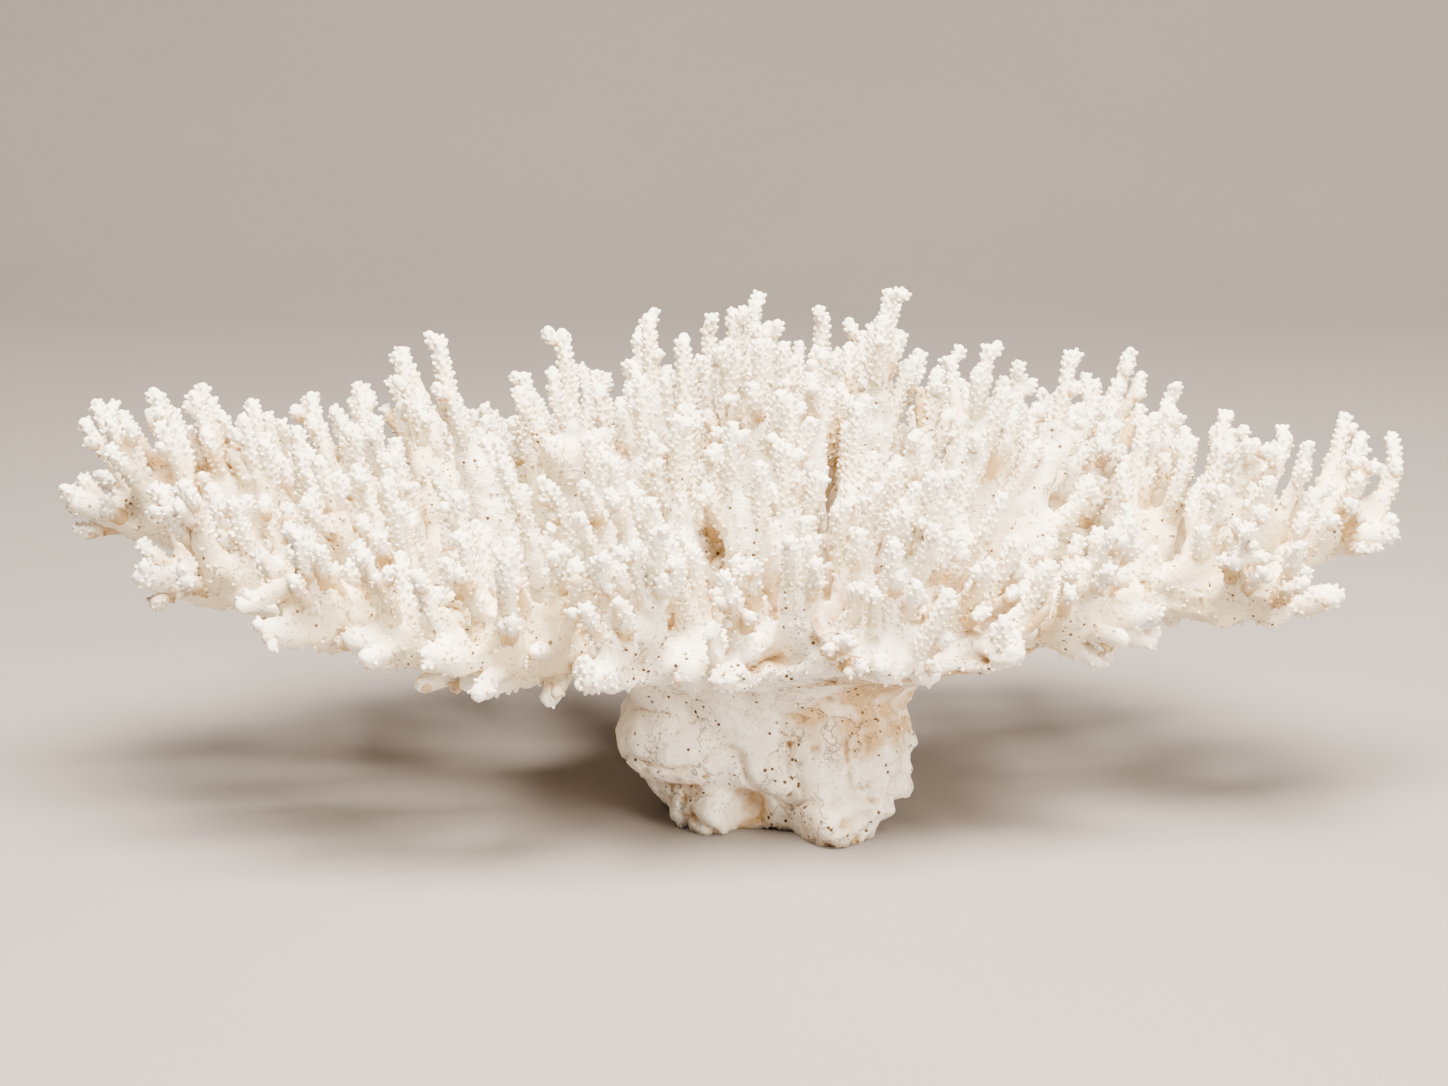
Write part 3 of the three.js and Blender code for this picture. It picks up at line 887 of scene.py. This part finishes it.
def spread(tree, value, low, high, to_low=0.0, to_high=1.0):
    """A value from a range spread over another."""
    ranged = {"Value": value, "From Min": low, "From Max": high, "To Min": to_low, "To Max": to_high}
    return node(tree, "ShaderNodeMapRange", ranged).outputs["Result"]


def blended(tree, share, first, second):
    """Two colours mixed, with a share of the second."""
    mixed = node(tree, "ShaderNodeMix", {0: share, 6: first, 7: second}, data_type="RGBA")
    return mixed.outputs[2]


def kept(tree, name):
    """What the points of a piece remember under a name, for its colour."""
    return node(tree, "ShaderNodeAttribute", {}, attribute_name=name).outputs["Fac"]


def lay_chalk(material, youngest, grown, oldest, pore_and_crack_shade, stain_and_shade_colour, cracked):
    """Chalk by age, with painted shade and tan in the hollows, stains that are partly painted shade, pores
    and cracks painted dark as shade, and grain.
    """
    material.use_nodes = True
    tree = material.node_tree
    chalk = tree.nodes["Principled BSDF"]
    chalk.inputs["Specular IOR Level"].default_value = 0.25
    where = node(tree, "ShaderNodeTexCoord", {}).outputs["Object"]
    bead = kept(tree, "bead")
    mottle = clouds(tree, where, 55.0, 4.0)
    blotch = clouds(tree, where, 120.0, 5.0)
    grain = clouds(tree, where, 1500.0, 4.0)

    aged = math_node(tree, "ADD", kept(tree, "age"), spread(tree, mottle, 0.3, 0.7, -0.009, 0.009))
    young_part = blended(tree, spread(tree, aged, 0.004, 0.022), youngest, grown)
    by_age = blended(tree, spread(tree, aged, 0.024, 0.06), young_part, oldest)
    beaded = blended(tree, math_node(tree, "MULTIPLY", bead, 0.4), by_age, youngest)
    # Painted shade: places shut in by their neighbours are coloured darker and tan, for the shade and the tan
    # in the hollows.
    hollow_shade_amount = math_node(tree, "ADD", kept(tree, "shelter"), spread(tree, mottle, 0.3, 0.7, -0.08, 0.08))
    hollow = blended(tree, spread(tree, hollow_shade_amount, 0.3, 0.62, 0.0, 0.92), beaded, stain_and_shade_colour)
    soiled_and_shaded = math_node(tree, "MULTIPLY", kept(tree, "stain"), spread(tree, blotch, 0.32, 0.55, 0.22, 1.0))
    stained_and_shaded = blended(tree, soiled_and_shaded, hollow, stain_and_shade_colour)

    # Painted shade: the pores are painted near black for the shade inside them, more in the old wood.
    cells = node(tree, "ShaderNodeTexVoronoi", {"Vector": where, "Scale": 360.0})
    patches = clouds(tree, where, 70.0, 2.0)
    chance = math_node(tree, "MULTIPLY", cells.outputs["Color"], spread(tree, patches, 0.36, 0.56))
    wide = spread(tree, chance, 0.15, 0.6, 0.0, 0.26)
    pore = spread(tree, math_node(tree, "SUBTRACT", wide, cells.outputs["Distance"]), 0.0, 0.06)
    old_pore = math_node(tree, "MULTIPLY", pore, spread(tree, aged, 0.008, 0.024))
    pins = node(tree, "ShaderNodeTexVoronoi", {"Vector": where, "Scale": 620.0}).outputs["Distance"]
    in_blotch = spread(tree, blotch, 0.5, 0.62)
    pinhole = math_node(tree, "MULTIPLY", spread(tree, pins, 0.2, 0.3, 0.55, 0.0), in_blotch)
    old_pinhole = math_node(tree, "MULTIPLY", pinhole, spread(tree, aged, 0.008, 0.02))
    holes = math_node(tree, "MAXIMUM", old_pore, old_pinhole)
    uncovered = math_node(tree, "MULTIPLY", holes, math_node(tree, "SUBTRACT", 1.0, bead))

    # Painted shade: the hair cracks are dark lines for the shade inside them.
    lines = clouds(tree, where, 60.0, 6.0, Roughness=0.6)
    off_line = math_node(tree, "ABSOLUTE", math_node(tree, "SUBTRACT", lines, 0.5), 0.0)
    on_line = spread(tree, off_line, 0.0, 0.012, cracked, 0.0)
    crack = math_node(tree, "MULTIPLY", on_line, spread(tree, mottle, 0.48, 0.58))
    lined = blended(tree, crack, stained_and_shaded, pore_and_crack_shade)
    tree.links.new(blended(tree, uncovered, lined, pore_and_crack_shade), chalk.inputs["Base Color"])

    tree.links.new(spread(tree, grain, 0.3, 0.7, 0.72, 0.95), chalk.inputs["Roughness"])
    crust = clouds(tree, where, 330.0, 5.0, Roughness=0.65)
    rough = math_node(tree, "ADD", math_node(tree, "MULTIPLY", grain, 0.3), crust)
    height = math_node(tree, "SUBTRACT", math_node(tree, "SUBTRACT", rough, crack), uncovered)
    bump = node(tree, "ShaderNodeBump", {"Height": height, "Strength": 0.85, "Distance": 1.4 * mm})
    tree.links.new(bump.outputs["Normal"], chalk.inputs["Normal"])


lay_chalk(
    white_chalk,
    youngest=(0.96, 0.90, 0.78, 1),
    grown=(0.91, 0.80, 0.58, 1),
    oldest=(0.67, 0.46, 0.21, 1),
    pore_and_crack_shade=(0.15, 0.08, 0.03, 1),
    stain_and_shade_colour=(0.54, 0.35, 0.15, 1),
    cracked=0.0,
)
base_chalk = bpy.data.materials.new("base_chalk")
lay_chalk(
    base_chalk,
    youngest=(0.96, 0.90, 0.78, 1),
    grown=(0.96, 0.89, 0.76, 1),
    oldest=(0.67, 0.46, 0.21, 1),
    pore_and_crack_shade=(0.13, 0.07, 0.03, 1),
    stain_and_shade_colour=(0.52, 0.34, 0.16, 1),
    cracked=0.55,
)

# Putting the coral together. The skeleton is one growth. Here each limb with its branchlets is a piece, the
# stump with its plate is another, and the crown of branchlets on the plate is a left and a right half.

COLUMN_SIDES = 9
RING_LOOKS = 8
OFF_COLUMN = 0.8 * mm
BESIDE = 2 * mm
PARTING = -4 * mm


def occlusion_along(axes):
    """How sheltered each ring of the columns is, by what it sees all round and by the skin beside it."""
    points = points_of(axes)
    thick = recall(axes, "thick")
    shut = np.zeros(len(points))
    for turn in np.linspace(0, FULL_TURN, RING_LOOKS + 1)[:-1]:
        look = np.array((0.9 * math.cos(turn), 0.9 * math.sin(turn), 0.43))
        seen_from = points + (thick + OFF_COLUMN)[:, None] * look
        shut += occlusion_of(seen_from, np.tile(look, (1, len(points), 1))) / RING_LOOKS
    for i, point in enumerate(points):
        nearest = on_skin.find_n(point, 5)
        beside = [skin_occlusion[k] for place, k, apart in nearest if apart < thick[i] + BESIDE]
        shut[i] = min(beside + [shut[i]])
    return shut * (1 - 0.75 * recall(axes, "worn"))


def set_up(name, skin, chosen, replaced, material):
    """A piece of coral: a skin, its columns and the corallites on both."""
    standing = bpy.data.meshes.new("none")
    if chosen:
        axes = axes_of("axes", chosen)
        shut = occlusion_along(axes)
        # Kept for the colour as painted shade and tan in the hollows.
        remember(axes, shelter=shut)
        chances = recall(axes, "cup_chance") * np.interp(shut, [0.3, 0.65], [1, 0.25])
        axes.attributes["cup_chance"].data.foreach_set("value", chances)
        standing = with_tree(axes, tubing, Sides=COLUMN_SIDES, Material=material)
    made = with_tree(
        skin,
        cupping,
        Columns=bpy.data.objects.new("columns", standing),
        Corallite=cup,
        Apart=1.85 * mm,
        Width=0.95 * mm,
        Height=1.15 * mm,
        Tilt=0.6,
        Lumps=8.0 * mm,
        Seed=11,
        Material=material,
    )
    piece = put_on_show(name, made)
    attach(piece, "root")
    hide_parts(replaced)


for name, skin in skins.items():
    mine = [column for column in columns if column["piece"] == name]
    if name == "holdfast":
        left = [column for column in mine if column["points"][0][0] < PARTING]
        right = [column for column in mine if column["points"][0][0] >= PARTING]
        set_up("stump_and_plate", skin, [], name, base_chalk)
        set_up("crown_left", bpy.data.meshes.new("crown"), left, name, white_chalk)
        set_up("crown_right", bpy.data.meshes.new("crown"), right, name, white_chalk)
    else:
        set_up(name + "_coral", skin, mine, name, white_chalk)

# Floor. The sheet of pale, matt paper that the coral stands on, rolled up behind it into a wall with no edge.
# It is not part of the coral.

FLOOR_REACH = 60.0
CURVE_START = 1.1
CURVE_RADIUS = 0.8
WALL_TOP = 3.0

profile = [(-FLOOR_REACH, 0.0), (CURVE_START, 0.0)]
for turn in np.linspace(0.1, math.pi / 2, 16):
    across = CURVE_START + CURVE_RADIUS * math.sin(turn)
    profile.append((across, CURVE_RADIUS - CURVE_RADIUS * math.cos(turn)))
profile.append((CURVE_START + CURVE_RADIUS, WALL_TOP))
floor_points = [(x, y, z) for y, z in profile for x in (-FLOOR_REACH, FLOOR_REACH)]
floor_faces = [(2 * i, 2 * i + 1, 2 * i + 3, 2 * i + 2) for i in range(len(profile) - 1)]
floor_mesh = bpy.data.meshes.new("floor")
floor_mesh.from_pydata(floor_points, [], floor_faces)
floor_mesh.polygons.foreach_set("use_smooth", [True] * len(floor_faces))
floor = put_on_show("floor", floor_mesh)
paper = bpy.data.materials.new("paper_sweep")
paper.use_nodes = True
tree = paper.node_tree
sheet = tree.nodes["Principled BSDF"]
where = node(tree, "ShaderNodeTexCoord", {}).outputs["Object"]
fibre = clouds(tree, where, 420.0, 5.0)
cloud = clouds(tree, where, 2.5, 3.0)
half_fibre = math_node(tree, "MULTIPLY", fibre, 0.5)
tint = math_node(tree, "ADD", half_fibre, math_node(tree, "MULTIPLY", cloud, 0.5))
shade = blended(tree, spread(tree, tint, 0.35, 0.65), (0.196, 0.175, 0.164, 1), (0.223, 0.2, 0.187, 1))
tree.links.new(shade, sheet.inputs["Base Color"])
tree.links.new(spread(tree, fibre, 0.3, 0.7, 0.82, 0.96), sheet.inputs["Roughness"])
press = node(tree, "ShaderNodeBump", {"Height": fibre, "Strength": 0.15, "Distance": 0.3 * mm})
tree.links.new(press.outputs["Normal"], sheet.inputs["Normal"])
floor_mesh.materials.append(paper)
floor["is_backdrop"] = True

# Light. Two large soft lamps, one overhead and a little in front, one low on the right, in a pale room that
# fills the shadows. Their warm white is the cream of the skeleton in the open.

WARM_WHITE = (1, 0.9, 0.775)


def lamp(name, at, aim, size, power):
    """A square-cornered soft lamp on a stand, aimed at a point."""
    light = bpy.data.lights.new(name, "AREA")
    light.shape = "RECTANGLE"
    light.size, light.size_y = size
    light.energy = power
    light.color = WARM_WHITE
    stand = bpy.data.objects.new(name, light)
    bpy.context.scene.collection.objects.link(stand)
    stand.location = at
    stand.rotation_euler = (Vector(aim) - Vector(at)).to_track_quat("-Z", "Y").to_euler()


lamp("overhead", at=(0.08, -0.45, 1.35), aim=(0, 0, 0.06), size=(0.9, 0.8), power=186)
lamp("front_fill", at=(1.8, -1.9, 0.85), aim=(0, 0, 0.05), size=(1.2, 0.9), power=145)
world = bpy.data.worlds.new("room")
bpy.context.scene.world = world
world.use_nodes = True
sky = world.node_tree
around = node(sky, "ShaderNodeTexCoord", {}).outputs["Generated"]
above = node(sky, "ShaderNodeSeparateXYZ", {"Vector": around}).outputs["Z"]
horizon = spread(sky, above, 0.05, 0.2, 1.0, 0.0)
walls = blended(sky, horizon, (0.19, 0.174, 0.16, 1), (0.5, 0.465, 0.43, 1))
sky.links.new(walls, sky.nodes["Background"].inputs["Color"])

# Camera. A long lens a little above the rim of the crown, square to the front of the coral, as far off as
# fills the picture with it.

CAMERA_RISE = math.radians(13)
CAMERA_AIM = Vector((-0.016, 0, 0.096))
CAMERA_DISTANCE = 1.206

lens = bpy.data.cameras.new("camera")
lens.lens = 85
lens.sensor_width = 36
camera = bpy.data.objects.new("camera", lens)
bpy.context.scene.collection.objects.link(camera)
back = Vector((0, -math.cos(CAMERA_RISE), math.sin(CAMERA_RISE)))
camera.location = CAMERA_AIM + CAMERA_DISTANCE * back
camera.rotation_euler = (-back).to_track_quat("-Z", "Y").to_euler()
bpy.context.scene.camera = camera

low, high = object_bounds()
